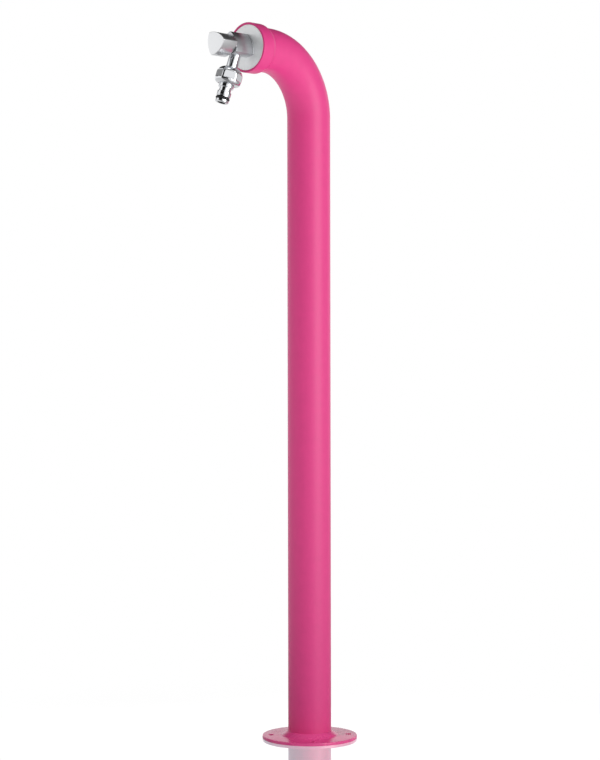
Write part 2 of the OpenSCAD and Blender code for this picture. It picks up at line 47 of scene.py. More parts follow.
# Sizes are in millimetres and angles in degrees. They are the CAD source's, apart from softened
# edges and the collar's shoulder

# Post and bend
POST_R = 30
POST_INNER_R = 28
AXIS_H = 950
BEND_R = 86
BEND_Z = AXIS_H - BEND_R
HEAD_STRAIGHT = 38
# Height of a ring of points just above the tube's foot
FOOT_RING = 3

# Play between a visible piece and the one that it sits on
PUSH = 0.1

# Base flange and its socket
LIP_T = 2
FLANGE_T = 4
FLANGE_R = 66
FLANGE_EDGE_SOFT = 1
FLANGE_UNDER_SOFT = 0.2
HUB_FOOT_R = 39.5
HUB_FOOT_SOFT = 0.8
HUB_TOP_R = 31.3
HUB_TOP = 10
HUB_TOP_SOFT = 0.4
ENTRY_R = 26
BOLTS = 4
BOLT_TURN = 45
BOLT_R = 54
BOLT_HOLE_R = 4
BOLT_CHAMFER = 0.35

# End disc and the collar round it, measured from the disc's face outwards
DISC_T = 3
SEAL_T = 1
DISC_R = 30.8
DISC_SOFT = 0.7
DISC_BACK_SOFT = 0.2
COLLAR_R = 33.8
COLLAR_FRONT = 0.5
COLLAR_LEN = 28
COLLAR_EDGE_R = 0.6
RIM_CHAMFER = 0.3
SHOULDER_LEN = 10.5
SHOULDER_SINK = 0.03
SHOULDER_LIP = 1

# Tap, measured from the disc's face outwards
TAP_WIDTH = 31
TAP_EDGE_R = 2
TAP_TURN = 8
BODY_ANGLE = 90 - TAP_TURN
TAIL_R = 10.412
TAIL_END = -24.6
ROSETTE_T = 2.8
ROSETTE_RIMS = 0.2, 0.35
BODY_BACK = 3.4
BODY_FRONT = 34.4
BODY_RIMS = 0.3, 0.5
CHAMBER_BACK = 11.4
CHAMBER_R = 11.012
WATERWAY_R = 6.012
HANDLE_BACK = 35.4
HANDLE_FRONT = 60.8
HANDLE_TURN = 45
HANDLE_ANGLE = BODY_ANGLE + HANDLE_TURN
HANDLE_RIMS = 0.4, 0.6
RECESS_R = 8.5
RECESS_DEPTH = 3
SPINDLE_HOLE_R = 4.1
SPINDLE_HOLE_TOP = 48
GRUB_HOLE_R = 2.6
GRUB_Z = 43.9
GRUB_IN = 3.2

# Spout, measured along it from the tap's axis, as are the nut and the nipple
SPOUT_ROOT = 17
SPOUT_LEAN = 15
SPOUT_R = 8
SPOUT_BORE_R = 6
SPOUT_END = 44.2

# Union nut: bulged above, rounded below, with six flats that run out into both
NUT_START = 31.2
NUT_END = 54.8
NUT_AF = 32.2
NUT_R = 18
NUT_TURN = 13
NUT_SHOULDER_R = 11
NUT_ROUND = 5.2
NUT_LIP_END = 37
NUT_BORE_R = 12.1
FLATS_START = 38.2
FLATS_END = 48.4
FLATS_RUN_OUT = 0.9
FLATS_SOFT = 0.35

# Hose nipple and its rubber ring
NIPPLE_START = 48.2
NIPPLE_THREAD_END = 54.4
NIPPLE_THREAD_R = 11.9
NIPPLE_BASE_R = 10.5
BASE_END = 59.6
GROOVE_R = 8.3
GROOVE_END = 65.6
SHOULDER_R = 9.9
SHOULDER_END = 71
LAND_END = 72.4
SEAT_R = 6.5
SEAT_END = 76.6
TIP_R = 9.3
TIP_END = 80.4
TIP_SLOPE = 1
NIPPLE_BORE_R = 5.4
# How far out of the bore the painted shade reaches, in millimetres
BORE_MOUTH = 0.2
RING_SECTION = 3.2

# Roundings of the nipple's edges
FINE_SOFT = 0.1
LAND_SOFT = 0.15
EDGE_SOFT = 0.3
WIDE_SOFT = 0.5

# Fineness of the meshes: sides of turned pieces and of outlines, then steps along a profile
FEW_SIDES = 48
HOLE_SIDES = 64
ROD_SIDES = 96
PIPE_SIDES = 192
FINE_SIDES = 256
NUT_SIDES = 480
POST_SIDES = 160
BAR_SIDES = 360
UPRIGHT_STEPS = 40
BEND_STEPS = 120
HEAD_STEPS = 6
SHOULDER_STEPS = 48
FLANGE_EDGE_STEPS = 6
RIM_STEPS = 6
NUT_TOP_STEPS, NUT_MIDDLE_STEPS, NUT_FOOT_STEPS = 48, 24, 20
RING_STEPS = 16
# Points closer than this are one, in metres, and how much of an edge a rounding may take
SAME_POINT = 1e-7
ROUNDED_SHARE = 0.49
# How far a cutter reaches past what it cuts
OVERRUN = 1
CHAMBER_OVERRUN = 16

# Angles up to which neighbouring faces shade smoothly, in degrees
SMOOTH, SMOOTH_WIDER, SMOOTH_NUT, SMOOTH_RING = 32, 40, 50, 60

# The photograph's camera: place round the post from the tap's front, distance and height in
# millimetres, lens in pixels, the end of its view in metres, and its own turns
VIEW_TURN = math.radians(42.2)
CAMERA_REACH = 2800
CAMERA_H = 538.8
FOCAL_PX = 2004.8
LONG_SIDE_PX = 760
SENSOR = 36
VIEW_END = 100
YAW, PITCH, ROLL = (math.radians(v) for v in (-0.26, 0.79, -0.10))

# Floor in metres. Near the post, what the camera sees it mirror, glow and scatter makes white
FLOOR_REACH = 12
FLOOR_SIDES = 128
FLOOR_COLOUR = 0.86, 0.86, 0.87
FLOOR_ROUGH = 0.5
FLOOR_MIRROR = 0.95, 0.7, 0.7
FLOOR_GLOW = 0.01, 0.26, 0.26
FLOOR_MATT = 0.2
MIRROR_ROUGH = 0.05
# Seen from higher up, or behind the post, it mirrors nothing and glows instead. The mirror
# comes in over these slants of the view and these distances towards the camera
FLOOR_PLAIN = 0.925, 0.925, 0.925
FLAT_VIEW = 0.765, 0.79
IN_FRONT = -0.3, -0.1
# Distances from the post over which the floor turns bright: seen, mirrored and as a light
SEEN_FADE, MIRRORED_FADE, LIT_FADE = (0.2, 0.6), (0.3, 0.9), (0.15, 0.75)

# What metal mirrors: levels over bearing and height in degrees
BACKDROP_ROUND = ((-180, 1), (-95, 1), (-75, 0), (114, 0), (134, 1), (180, 1))
BACKDROP_UP = ((-90, 0.3), (-12, 0.9), (-4, 1), (16, 1), (24, 0.3), (30, 0.03), (60, 0.01))
WALL_ROUND = ((-112, 0), (-102, 1), (-62, 1), (-54, 0))
WALL_UP = ((-50, 0), (-30, 1), (34, 1), (46, 0))
LIGHT_ROUND = ((2, 0), (9, 1), (68, 1), (80, 0.24), (108, 0.24), (122, 0))
LIGHT_UP = ((-30, 0), (-16, 1), (46, 1), (56, 0))
FLOOR_ROUND = ((-180, 0.8), (-60, 0.7), (-50, 0.24), (-6, 0.24), (6, 0.85), (72, 0.85),
               (96, 0.42), (144, 0.42), (164, 0.76), (180, 0.8))
ROOM_UP = ((-90, 0.3), (-20, 0.12), (0, 0.05), (22, 0.012), (60, 0.01), (75, 0.2), (90, 0.5))
# Plain light on every other surface, over height and over bearing
AMBIENT_UP = ((-90, 0.55), (-12, 0.62), (-2, 0.95), (7, 0.95), (14, 0.25), (26, 0.05),
              (43, 0.08), (60, 0.5), (90, 0.75))
AMBIENT_ROUND = ((-180, 0.65), (-120, 0.42), (-60, 0.5), (-10, 1), (60, 1.1), (120, 1.05),
                 (180, 0.8))

# Key light on the right, in metres, watts and degrees from the tap's front
KEY_TURN, KEY_UP = 91, 3
KEY_REACH = 2.6
KEY_AIM = 0.6
KEY_SIZE = 1.8, 2.2
KEY_WATTS = 40
# Spot on the flange from above left of the camera, tilted from upright
FOOT_TURN, FOOT_TILT = -60, 25
FOOT_REACH = 2
FOOT_WATTS = 48
FOOT_SPREAD = 18
FOOT_SOFTNESS = 0.25

# Places of the tap's parts, of the spout's parts and of what stands upright
HEAD = (Matrix.Translation((0, -BEND_R - HEAD_STRAIGHT, AXIS_H))
        @ Matrix.Rotation(math.radians(90), 4, "X"))
SPOUT = (HEAD @ Matrix.Rotation(math.radians(-TAP_TURN), 4, "Z")
         @ Matrix.Translation((0, 0, SPOUT_ROOT))
         @ Matrix.Rotation(math.radians(90 - SPOUT_LEAN), 4, "X"))
UPRIGHT = Matrix.Identity(4)


# Materials

def srgb(code):
    """A colour as written, #rrggbb, in Blender's linear values."""
    parts = [int(code[i:i + 2], 16) / 255 for i in (1, 3, 5)]
    return [c / 12.92 if c <= 0.04045 else ((c + 0.055) / 1.055) ** 2.4 for c in parts] + [1]


def material(name, colour, metallic, rough, variation=0.04, rough_variation=0.05, scale=60,
             bump_scale=None, bump=0.1, bump_height=0.00002, bump_input=None, **sockets):
    """A principled finish whose colour, gloss and relief vary a little over the surface."""
    m = bpy.data.materials.new(name)
    m.use_nodes = True
    n, link = m.node_tree.nodes, m.node_tree.links
    shader = n["Principled BSDF"]
    shader.inputs["Metallic"].default_value = metallic
    for socket, value in sockets.items():
        shader.inputs[socket.replace("_", " ")].default_value = value
    where = n.new("ShaderNodeTexCoord")
    clouds = n.new("ShaderNodeTexNoise")
    clouds.inputs["Scale"].default_value = scale
    clouds.inputs["Detail"].default_value = 6
    link.new(where.outputs["Object"], clouds.inputs["Vector"])
    base = srgb(colour)
    dim, full = 0.3, 0.7
    ramp = n.new("ShaderNodeValToRGB")
    first, last = ramp.color_ramp.elements
    first.position, last.position = dim, full
    first.color = [c * (1 - variation) for c in base[:3]] + [1]
    last.color = [min(1, c * (1 + variation)) for c in base[:3]] + [1]
    link.new(clouds.outputs["Fac"], ramp.inputs["Fac"])
    link.new(ramp.outputs["Color"], shader.inputs["Base Color"])
    spread = n.new("ShaderNodeMapRange")
    spread.inputs["From Min"].default_value = dim
    spread.inputs["From Max"].default_value = full
    spread.inputs["To Min"].default_value = max(0, rough - rough_variation)
    spread.inputs["To Max"].default_value = rough + rough_variation
    link.new(clouds.outputs["Fac"], spread.inputs["Value"])
    link.new(spread.outputs["Result"], shader.inputs["Roughness"])
    if bump_scale or bump_input:
        relief = n.new("ShaderNodeBump")
        relief.inputs["Strength"].default_value = bump
        relief.inputs["Distance"].default_value = bump_height
        if bump_input:
            link.new(bump_input(n, link, where), relief.inputs["Height"])
        else:
            grain = n.new("ShaderNodeTexNoise")
            grain.inputs["Scale"].default_value = bump_scale
            grain.inputs["Detail"].default_value = 3
            link.new(where.outputs["Object"], grain.inputs["Vector"])
            link.new(grain.outputs["Fac"], relief.inputs["Height"])
        link.new(relief.outputs["Normal"], shader.inputs["Normal"])
    return m


def turned(n, link, where):
    """Height of the fine rings that turning leaves on the end disc."""
    split = n.new("ShaderNodeSeparateXYZ")
    link.new(where.outputs["Object"], split.inputs["Vector"])
    rise = n.new("ShaderNodeMath")
    rise.operation = "SUBTRACT"
    rise.inputs[1].default_value = AXIS_H * MM
    link.new(split.outputs["Z"], rise.inputs[0])
    flat = n.new("ShaderNodeCombineXYZ")
    link.new(split.outputs["X"], flat.inputs["X"])
    link.new(rise.outputs["Value"], flat.inputs["Z"])
    reach = n.new("ShaderNodeVectorMath")
    reach.operation = "LENGTH"
    link.new(flat.outputs["Vector"], reach.inputs[0])
    rings = n.new("ShaderNodeTexNoise")
    rings.noise_dimensions = "1D"
    rings.inputs["Scale"].default_value = 5000
    rings.inputs["Detail"].default_value = 2
    link.new(reach.outputs["Value"], rings.inputs["W"])
    return rings.outputs["Fac"]


powder = dict(metallic=0, variation=0.02, rough_variation=0.03, scale=90,
              bump_scale=1500, bump=0.12, bump_height=0.00004)
paint = material("powder_coat", "#e4428a", rough=0.4, Specular_IOR_Level=0.38, **powder)
# The flange's coat: the post's powder coat, glossier, in a lighter pink that is painted light on
# the flange's top
lit_flange_paint = material("flange_powder_coat_painted_light", "#ee4e96", rough=0.26, Specular_IOR_Level=0.7,
                        **powder)
satin = material("satin_metal", "#f4f6f7", metallic=0.45, rough=0.4, variation=0.02,
                 rough_variation=0.03, scale=200, bump=0.25, bump_height=0.00001,
                 bump_input=turned)
chrome = material("chrome", "#dfe1e4", metallic=1, rough=0.07, variation=0.015,
                  rough_variation=0.02, scale=120, bump_scale=260, bump=0.05)
fine_brush = dict(metallic=1, variation=0.015, rough_variation=0.03, scale=150,
                  bump_scale=900, bump=0.06, bump_height=0.00001)
brushed = material("brushed_chrome", "#e8e9eb", rough=0.32, **fine_brush)
# A darker copy of the brushed chrome, for the tap's body: painted shade
darker_chrome_painted_shade = material("darker_chrome_painted_shade", "#ccced2", rough=0.31, **fine_brush)
brass = material("brass", "#c2a052", metallic=1, rough=0.3, variation=0.06, scale=180,
                 bump_scale=1200)
copper = material("copper", "#b87346", metallic=1, rough=0.3, variation=0.08, scale=60,
                  bump_scale=900)
rubber = material("rubber", "#1b1b1d", metallic=0, rough=0.55, variation=0.2, scale=300,
                  bump_scale=2200, bump=0.2)
ceramic = material("ceramic", "#f1efe8", metallic=0, rough=0.2, variation=0.02, scale=300,
                   bump_scale=2500)
plastic = material("moulded_plastic", "#3a3c40", metallic=0, rough=0.5, variation=0.1,
                   scale=200, bump_scale=1800, bump=0.2)
steel = material("steel", "#8c8f91", metallic=1, rough=0.32, variation=0.05, scale=260,
                 bump_scale=1500)
# Near-black paint for the nipple's bore: painted shade, standing in for the dark inside of the
# hole
bore = material("shaded_bore", "#171614", metallic=0, rough=0.5, variation=0.1, scale=300,
                bump_scale=2000)
by_slot = {"paint": paint, "satin_metal": satin, "chrome": chrome, "brass": brass,
           "copper": copper, "rubber": rubber, "ceramic": ceramic, "plastic": plastic,
           "steel": steel}

for row in frame["record"]["subparts"]:
    mesh = nodes[row["node"]].data
    mesh.materials.clear()
    mesh.materials.append(by_slot[row["material_slot"]])


# Mesh helpers

def arc(centre, radius, start, end, steps=8):
    """Points of an arc in the profile's plane, between two angles in degrees."""
    turns = [math.radians(start + (end - start) * i / steps) for i in range(steps + 1)]
    return [(centre[0] + radius * math.cos(t), centre[1] + radius * math.sin(t)) for t in turns]


def softened(points, steps=5):
    """A closed profile of (r, z, rounding) with each of its corners rounded."""
    out = []
    for i, (r, z, soft) in enumerate(points):
        here = Vector((r, z))
        if not soft:
            out.append((r, z))
            continue
        before = Vector(points[i - 1][:2]) - here
        after = Vector(points[(i + 1) % len(points)][:2]) - here
        half = before.angle(after) / 2
        back = min(soft / math.tan(half), before.length * ROUNDED_SHARE,
                   after.length * ROUNDED_SHARE)
        a, b = here + before.normalized() * back, here + after.normalized() * back
        for k in range(steps + 1):
            t = k / steps
            p = (1 - t) ** 2 * a + 2 * t * (1 - t) * here + t ** 2 * b
            out.append((p.x, p.y))
    return out


def build(name, verts, faces, place):
    """A mesh object from points in millimetres, put in its place in the row's frame."""
    bm = bmesh.new()
    made = [bm.verts.new((place @ Vector(v)) * MM) for v in verts]
    for face in faces:
        bm.faces.new([made[i] for i in face])
    bmesh.ops.remove_doubles(bm, verts=bm.verts, dist=SAME_POINT)
    bmesh.ops.recalc_face_normals(bm, faces=bm.faces)
    mesh = bpy.data.meshes.new(name)
    bm.to_mesh(mesh)
    bm.free()
    obj = bpy.data.objects.new(name, mesh)
    scene.collection.objects.link(obj)
    return obj


def ring_faces(rings, sides):
    """Faces between each ring of points and the next, and from the last back to the first."""
    out = []
    for k in range(rings):
        a, b = k * sides, (k + 1) % rings * sides
        out += [(a + i, a + (i + 1) % sides, b + (i + 1) % sides, b + i) for i in range(sides)]
    return out


def lathe(name, profile, place, sides=PIPE_SIDES):
    """A closed profile of (r, z) points turned round z."""
    verts = []
    for k in range(sides):
        t = 2 * math.pi * k / sides
        verts += [(r * math.cos(t), r * math.sin(t), z) for r, z in profile]
    return build(name, verts, ring_faces(sides, len(profile)), place)


def rod(name, r, start, end, place, sides=ROD_SIDES):
    """A plain round bar."""
    return lathe(name, [(0, start), (r, start), (r, end), (0, end)], place, sides)


def triangle_point(direction, angle, edge_r):
    """Point of a rounded triangle's outline whose outward normal has this direction."""
    side = TAP_WIDTH - 2 * TAP_EDGE_R
    corner = side / math.sqrt(3)
    turn = (direction - angle + 30) % 120
    at_corner = turn <= 60
    third = round((direction - angle - (turn - 30 if at_corner else turn - 90)) / 60) * 60 + angle
    middle = math.radians(third if at_corner else third + 180)
    reach = edge_r if at_corner else side + edge_r
    facing = math.radians(direction)
    return Vector((corner * math.cos(middle) + reach * math.cos(facing),
                   corner * math.sin(middle) + reach * math.sin(facing)))


def triangle_bar(name, angle, back, front, rims, back_hole, front_hole):
    """A rounded-triangle bar with rounded rims at its back and front. The holes are (r, z)
    steps from each face inwards, and they meet."""
    directions = [angle + 360 * i / BAR_SIDES for i in range(BAR_SIDES)]
    back_rim, front_rim = rims
    quarter = [math.pi / 2 * i / RIM_STEPS for i in range(RIM_STEPS + 1)]

    def outline(depth, z):
        return [(*triangle_point(d, angle, TAP_EDGE_R - depth), z) for d in directions]

    def circle(r, z, like):
        turns = [math.atan2(p[1], p[0]) for p in like]
        return [(r * math.cos(t), r * math.sin(t), z) for t in turns]

    loops = [outline(back_rim * (1 - math.sin(t)), back + back_rim * (1 - math.cos(t)))
             for t in quarter]
    loops += [outline(front_rim * (1 - math.sin(t)), front - front_rim * (1 - math.cos(t)))
              for t in reversed(quarter)]
    loops += [circle(r, z, loops[0]) for r, z in front_hole + back_hole[::-1]]
    return build(name, [p for loop in loops for p in loop], ring_faces(len(loops), BAR_SIDES),
                 HEAD)


def cut(obj, cutter):
    """Cuts one mesh by another and deletes the cutter."""
    tool = obj.modifiers.new("cut", "BOOLEAN")
    tool.operation = "DIFFERENCE"
    tool.solver = "EXACT"
    tool.object = cutter
    bpy.context.view_layer.update()
    shown = obj.evaluated_get(bpy.context.evaluated_depsgraph_get())
    result = bpy.data.meshes.new_from_object(shown)
    obj.modifiers.clear()
    obj.data = result
    bpy.data.objects.remove(cutter)


def finish_piece(obj, finish, body, slot, *stands_for, smooth=SMOOTH):
    """Smooth shading up to the given angle, then material and body, and hides the CAD parts that
    it stands for. The slot is not used.
    """
    obj.data.shade_smooth()
    obj.data.set_sharp_from_angle(angle=math.radians(smooth))
    obj.data.materials.clear()
    obj.data.materials.append(finish)
    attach(obj, body)
    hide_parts(*stands_for)


# Post: one tube, swept up the post, round the bend and out to the head

def swept_loops(r):
    """Rings of points along the post's centre line, from the foot to the head's end."""
    stations = [((0, 0, LIP_T), 0), ((0, 0, LIP_T + FOOT_RING), 0)]
    stations += [((0, 0, LIP_T + (BEND_Z - LIP_T) * i / UPRIGHT_STEPS), 0)
                 for i in range(1, UPRIGHT_STEPS)]
    for i in range(BEND_STEPS + 1):
        t = math.radians(90 * i / BEND_STEPS)
        centre = (0, -BEND_R * (1 - math.cos(t)), BEND_Z + BEND_R * math.sin(t))
        stations.append((centre, t))
    straight = HEAD_STRAIGHT - DISC_T - SEAL_T
    stations += [((0, -BEND_R - straight * i / HEAD_STEPS, AXIS_H), math.pi / 2)
                 for i in range(1, HEAD_STEPS + 1)]
    turns = [2 * math.pi * k / POST_SIDES for k in range(POST_SIDES)]
    rings = []
    for centre, lean in stations:
        across = Vector((0, -math.cos(lean), -math.sin(lean)))
        rings.append([Vector(centre) + r * (math.cos(s) * Vector((1, 0, 0)) + math.sin(s) * across)
                      for s in turns])
    return rings


def make_post():
    """Tube with its outside and its inside."""
    rings = swept_loops(POST_R) + swept_loops(POST_INNER_R)[::-1]
    points = [p for ring in rings for p in ring]
    post = build("post", points, ring_faces(len(rings), POST_SIDES), UPRIGHT)
    finish_piece(post, paint, "post", "paint", "post_tube", smooth=SMOOTH_WIDER)


def make_flange():
    """Base flange with its socket and countersunk bolt holes."""
    profile = softened([
        (ENTRY_R, 0, 0), (FLANGE_R, 0, FLANGE_UNDER_SOFT), (FLANGE_R, FLANGE_T, FLANGE_EDGE_SOFT),
        (HUB_FOOT_R, FLANGE_T, HUB_FOOT_SOFT), (HUB_TOP_R, HUB_TOP, HUB_TOP_SOFT),
        (POST_R + PUSH, HUB_TOP, 0), (POST_R + PUSH, LIP_T, 0), (ENTRY_R, LIP_T, 0)],
        FLANGE_EDGE_STEPS)
    flange = lathe("flange", profile, UPRIGHT, FINE_SIDES)
    wide = BOLT_HOLE_R + BOLT_CHAMFER
    hole = [(0, -OVERRUN), (BOLT_HOLE_R, -OVERRUN), (BOLT_HOLE_R, FLANGE_T - BOLT_CHAMFER),
            (wide, FLANGE_T), (wide, FLANGE_T + OVERRUN), (0, FLANGE_T + OVERRUN)]
    for i in range(BOLTS):
        turn = Matrix.Rotation(math.radians(BOLT_TURN + 360 / BOLTS * i), 4, "Z")
        cut(flange, lathe("hole", hole, turn @ Matrix.Translation((BOLT_R, 0, 0)), HOLE_SIDES))
    # The lighter pink of its coat is painted light
    finish_piece(flange, lit_flange_paint, "post", "paint", "base_flange")


def make_collar():
    """Sleeve on the tube's end, whose back rises smoothly from the tube."""
    back, bore_r = COLLAR_FRONT - COLLAR_LEN, POST_R + PUSH
    rise = COLLAR_R - POST_R + SHOULDER_SINK
    profile = [(COLLAR_R - rise * (1 + math.cos(math.pi * t)) / 2, back + SHOULDER_LEN * t)
               for t in (i / SHOULDER_STEPS for i in range(SHOULDER_STEPS + 1))]
    profile += arc((COLLAR_R - COLLAR_EDGE_R, COLLAR_FRONT - COLLAR_EDGE_R), COLLAR_EDGE_R, 0, 90)
    profile += [(DISC_R + PUSH + RIM_CHAMFER, COLLAR_FRONT),
                (DISC_R + PUSH, COLLAR_FRONT - RIM_CHAMFER), (DISC_R + PUSH, -DISC_T - SEAL_T),
                (bore_r, -DISC_T - SEAL_T), (bore_r, back + SHOULDER_LEN),
                (POST_R - SHOULDER_SINK, back + SHOULDER_LIP)]
    collar = lathe("collar", profile, HEAD, FINE_SIDES)
    finish_piece(collar, paint, "post", "paint", "head_collar")


def make_head_disc():
    """Disc that closes the head, with a hole for the tap's tail."""
    disc = lathe("head_disc", softened([
        (TAIL_R + PUSH, -DISC_T, 0), (DISC_R, -DISC_T, DISC_BACK_SOFT), (DISC_R, 0, DISC_SOFT),
        (TAIL_R + PUSH, 0, 0)]), HEAD, FINE_SIDES)
    finish_piece(disc, satin, "post", "satin_metal", "end_disc")


def make_rosette():
    """Thin plate between the disc and the tap."""
    rosette = triangle_bar("rosette", BODY_ANGLE, 0, ROSETTE_T, ROSETTE_RIMS,
                           [(TAIL_R + PUSH, 0)], [(TAIL_R + PUSH, ROSETTE_T)])
    finish_piece(rosette, chrome, "post", "chrome", "tap_rosette", smooth=SMOOTH_WIDER)


def make_tap_body():
    """Body with its tail, its chamber and the hole for the spout."""
    body = triangle_bar("body", BODY_ANGLE, BODY_BACK, BODY_FRONT, BODY_RIMS,
                        [(TAIL_R, BODY_BACK), (TAIL_R, TAIL_END)],
                        [(CHAMBER_R, BODY_FRONT), (CHAMBER_R, CHAMBER_BACK),
                         (WATERWAY_R, CHAMBER_BACK), (WATERWAY_R, TAIL_END)])
    cut(body, rod("hole", SPOUT_R + PUSH, 0, NUT_START, SPOUT))
    # The body's darker chrome is painted shade
    finish_piece(body, darker_chrome_painted_shade, "post", "chrome", "tap_body", smooth=SMOOTH_WIDER)


def make_handle():
    """Handle with its recess, its hole for the spindle and the hole of its grub screw."""
    recess_top = HANDLE_BACK + RECESS_DEPTH
    flat_side = HANDLE_ANGLE + 60
    handle = triangle_bar("handle_grip", HANDLE_ANGLE, HANDLE_BACK, HANDLE_FRONT, HANDLE_RIMS,
                          [(RECESS_R, HANDLE_BACK), (RECESS_R, recess_top),
                           (SPINDLE_HOLE_R, recess_top), (SPINDLE_HOLE_R, SPINDLE_HOLE_TOP)],
                          [(0, HANDLE_FRONT), (0, SPINDLE_HOLE_TOP)])
    grub_place = (HEAD @ Matrix.Translation((0, 0, GRUB_Z))
                  @ Matrix.Rotation(math.radians(flat_side), 4, "Z")
                  @ Matrix.Rotation(math.radians(90), 4, "Y"))
    cut(handle, rod("hole", GRUB_HOLE_R, GRUB_IN, TAP_WIDTH, grub_place, FEW_SIDES))
    finish_piece(handle, brushed, "handle", "chrome", "handle", smooth=SMOOTH_WIDER)


def make_spout():
    """Spout tube, its root cut to the valve chamber."""
    spout = lathe("spout_pipe", [(SPOUT_BORE_R, 0), (SPOUT_R, 0), (SPOUT_R, SPOUT_END),
                                 (SPOUT_BORE_R, SPOUT_END)], SPOUT)
    cut(spout, rod("hole", CHAMBER_R, CHAMBER_BACK - CHAMBER_OVERRUN, BODY_FRONT + OVERRUN, HEAD))
    finish_piece(spout, chrome, "post", "chrome", "spout_tube")


def milled(r, z, off):
    """Radius of the nut at a height, off degrees from a flat's middle."""
    flat = NUT_AF / 2 / math.cos(math.radians(off))
    gap = max(FLATS_SOFT - abs(flat - r), 0) / FLATS_SOFT
    cut_r = min(flat, r) - gap * gap * FLATS_SOFT / 4
    inside = min(z - FLATS_START, FLATS_END - z) / FLATS_RUN_OUT + 0.5
    inside = min(1, max(0, inside))
    return r + (cut_r - r) * inside * inside * (3 - 2 * inside)


def make_nut():
    """Union nut: a turned outline, milled to six flats round its middle."""
    upper, lower, hole_r = NUT_START + NUT_SHOULDER_R, NUT_END - NUT_ROUND, SPOUT_R + PUSH
    rise = math.degrees(math.acos((hole_r - NUT_R + NUT_SHOULDER_R) / NUT_SHOULDER_R))
    outline = arc((NUT_R - NUT_SHOULDER_R, upper), NUT_SHOULDER_R, -rise, 0, NUT_TOP_STEPS)
    outline += [(NUT_R, upper + (lower - upper) * i / NUT_MIDDLE_STEPS)
                for i in range(1, NUT_MIDDLE_STEPS)]
    outline += arc((NUT_R - NUT_ROUND, lower), NUT_ROUND, 0, 90, NUT_FOOT_STEPS)
    hole = [(NUT_BORE_R, NUT_END), (NUT_BORE_R, NUT_LIP_END), (hole_r, NUT_LIP_END)]
    verts = []
    for k in range(NUT_SIDES):
        t = 2 * math.pi * k / NUT_SIDES
        off = (math.degrees(t) - NUT_TURN) % 60 - 30
        shaped = [(milled(r, z, off) if r > hole_r + FLATS_SOFT else r, z) for r, z in outline]
        verts += [(r * math.cos(t), r * math.sin(t), z) for r, z in shaped + hole]
    nut = build("nut", verts, ring_faces(NUT_SIDES, len(outline + hole)), SPOUT)
    finish_piece(nut, chrome, "post", "chrome", "union_nut", smooth=SMOOTH_NUT)


def make_nipple():
    """Hose nipple, its bore painted near black: painted shade."""
    nipple = lathe("nipple", softened([
        (NIPPLE_BORE_R, NIPPLE_START, 0), (NIPPLE_THREAD_R, NIPPLE_START, FINE_SOFT),
        (NIPPLE_THREAD_R, NIPPLE_THREAD_END, EDGE_SOFT), (NIPPLE_BASE_R, NIPPLE_THREAD_END, 0),
        (NIPPLE_BASE_R, BASE_END, WIDE_SOFT), (GROOVE_R, BASE_END, EDGE_SOFT),
        (GROOVE_R, GROOVE_END, EDGE_SOFT), (SHOULDER_R, GROOVE_END, WIDE_SOFT),
        (SHOULDER_R, SHOULDER_END, EDGE_SOFT), (TIP_R, SHOULDER_END, FINE_SOFT),
        (TIP_R, LAND_END, LAND_SOFT), (SEAT_R, LAND_END, FINE_SOFT),
        (SEAT_R, SEAT_END, FINE_SOFT), (TIP_R, SEAT_END, LAND_SOFT),
        (TIP_R, TIP_END - TIP_SLOPE, EDGE_SOFT), (TIP_R - TIP_SLOPE, TIP_END, EDGE_SOFT),
        (NIPPLE_BORE_R, TIP_END, EDGE_SOFT)]), SPOUT, FINE_SIDES)
    finish_piece(nipple, chrome, "post", "chrome", "hose_nipple")
    nipple.data.materials.append(bore)
    # Faces inside the bore and round its mouth get the painted shade
    to_spout = SPOUT.inverted()
    for face in nipple.data.polygons:
        if (to_spout @ (face.center / MM)).xy.length < NIPPLE_BORE_R + BORE_MOUTH:
            face.material_index = 1


def make_ring():
    """Rubber ring in the nipple's seat."""
    middle = SEAT_R + RING_SECTION / 2, (LAND_END + SEAT_END) / 2
    section = arc(middle, RING_SECTION / 2, 0, 360 - 360 / RING_STEPS, RING_STEPS - 1)
    ring = lathe("rubber_ring", section, SPOUT)
    finish_piece(ring, rubber, "post", "rubber", "nipple_o_ring", smooth=SMOOTH_RING)


make_post()
make_flange()
make_collar()
make_head_disc()
make_rosette()
make_tap_body()
make_handle()
make_spout()
make_nut()
make_nipple()
make_ring()


# Camera at the photograph's place

round_post = Matrix.Rotation(VIEW_TURN, 3, "Z")
side = round_post @ Vector((math.cos(YAW), -math.sin(YAW), 0))
ahead = round_post @ Vector((math.sin(YAW), math.cos(YAW), 0))
forward = ahead * math.cos(PITCH) - Vector((0, 0, math.sin(PITCH)))
up = ahead * math.sin(PITCH) + Vector((0, 0, math.cos(PITCH)))
right = side * math.cos(ROLL) + up * math.sin(ROLL)
top = up * math.cos(ROLL) - side * math.sin(ROLL)
camera = bpy.data.objects.new("camera", bpy.data.cameras.new("camera"))
camera.data.sensor_width = SENSOR
camera.data.lens = FOCAL_PX * SENSOR / LONG_SIDE_PX
camera.data.clip_end = VIEW_END
stand = Vector((CAMERA_REACH * math.sin(VIEW_TURN), -CAMERA_REACH * math.cos(VIEW_TURN), CAMERA_H))
camera.matrix_world = (Matrix.Translation(stand * MM)
                       @ Matrix((right, top, -forward)).transposed().to_4x4())
scene.collection.objects.link(camera)
scene.camera = camera


# Shader helpers

def mixed(n, link, share, first, second):
    """Mixes two shaders; the share is a node's output."""
    mix = n.new("ShaderNodeMixShader")
    link.new(share, mix.inputs["Fac"])
    link.new(first, mix.inputs[1])
    link.new(second, mix.inputs[2])
    return mix.outputs["Shader"]


def added(n, link, first, second):
    """Adds two shaders."""
    add = n.new("ShaderNodeAddShader")
    link.new(first, add.inputs[0])
    link.new(second, add.inputs[1])
    return add.outputs["Shader"]


